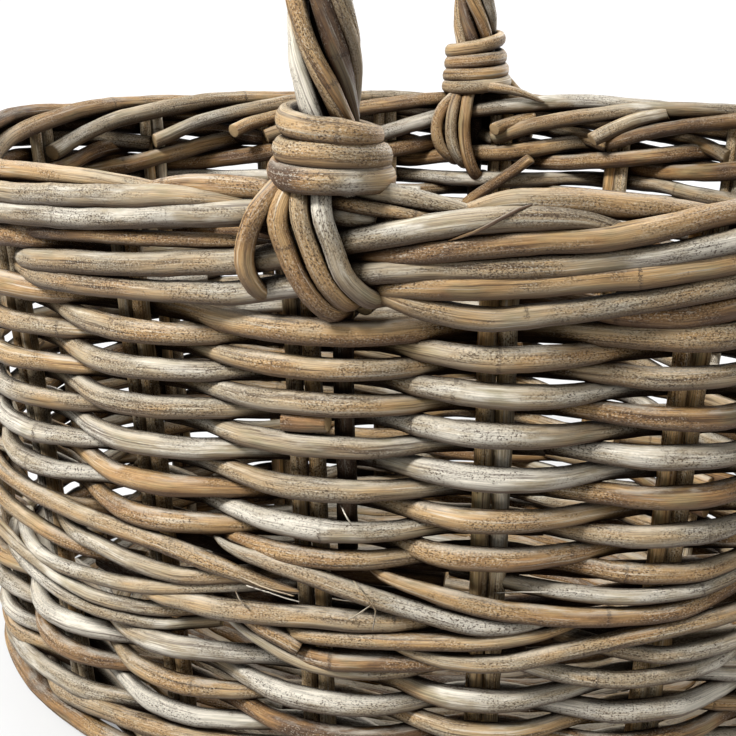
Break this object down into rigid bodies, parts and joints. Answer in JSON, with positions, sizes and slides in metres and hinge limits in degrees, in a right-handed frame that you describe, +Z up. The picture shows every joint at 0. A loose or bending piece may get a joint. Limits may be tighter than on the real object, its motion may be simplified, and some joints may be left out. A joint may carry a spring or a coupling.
{
  "type": "woven rattan basket",
  "caption": "Oval woven rattan shopping basket with flared sides, a stacked border, a twisted arch handle over its short axis and wound collars at the handle's feet.",
  "frame": {"origin": "middle of the underside of the base, on the floor", "axes": "+X along the long axis of the oval, +Y along the short axis from the front leg of the handle to the back one, +Z up"},
  "size_m": [0.4676, 0.3688, 0.4383],
  "materials": {
    "base_cane": "matt",
    "stake_cane": "matt",
    "siding_cane": "matt with a faint sheen",
    "wale_cane": "matt with a faint sheen",
    "border_cane": "matt with a faint sheen",
    "handle_cane": "satin, worn by hands",
    "collar_cane": "matt with a faint sheen",
    "tie_cane": "matt with a faint sheen"
  },
  "bodies": {
    "root": {"base_panel": "base_cane", "foot_ring": "base_cane", "stake_pair_01": "stake_cane", "stake_pair_02": "stake_cane", "stake_pair_03": "stake_cane", "stake_pair_04": "stake_cane", "stake_pair_05": "stake_cane", "stake_pair_06": "stake_cane", "stake_pair_07": "stake_cane", "stake_pair_08": "stake_cane", "stake_pair_09": "stake_cane", "stake_pair_10": "stake_cane", "stake_pair_11": "stake_cane", "stake_pair_12": "stake_cane", "stake_pair_13": "stake_cane", "stake_pair_14": "stake_cane", "stake_pair_15": "stake_cane", "stake_pair_16": "stake_cane", "stake_pair_17": "stake_cane", "stake_pair_18": "stake_cane", "foot_wale_cane_1": "wale_cane", "foot_wale_cane_2": "wale_cane", "foot_wale_cane_3": "wale_cane", "lower_siding_cane_1": "siding_cane", "lower_siding_cane_2": "siding_cane", "middle_wale_cane_1": "wale_cane", "middle_wale_cane_2": "wale_cane", "middle_wale_cane_3": "wale_cane", "upper_siding_cane_1": "siding_cane", "upper_siding_cane_2": "siding_cane", "top_wale_cane_1": "wale_cane", "top_wale_cane_2": "wale_cane", "top_wale_cane_3": "wale_cane", "border_outer_lower": "border_cane", "border_outer_upper": "border_cane", "border_inner": "border_cane", "border_top_left": "border_cane", "border_top_right": "border_cane", "handle_bow": "handle_cane", "handle_strand_1": "handle_cane", "handle_strand_2": "handle_cane", "handle_strand_3": "handle_cane", "handle_strand_4": "handle_cane", "handle_strand_5": "handle_cane", "front_collar": "collar_cane", "back_collar": "collar_cane", "front_outer_tie_1": "tie_cane", "front_outer_tie_2": "tie_cane", "front_outer_tie_3": "tie_cane", "front_outer_tie_4": "tie_cane", "front_inner_tie_1": "tie_cane", "front_inner_tie_2": "tie_cane", "front_inner_tie_3": "tie_cane", "back_outer_tie_1": "tie_cane", "back_outer_tie_2": "tie_cane", "back_outer_tie_3": "tie_cane", "back_outer_tie_4": "tie_cane", "back_inner_tie_1": "tie_cane", "back_inner_tie_2": "tie_cane", "back_inner_tie_3": "tie_cane"}
  },
  "joints": []
}
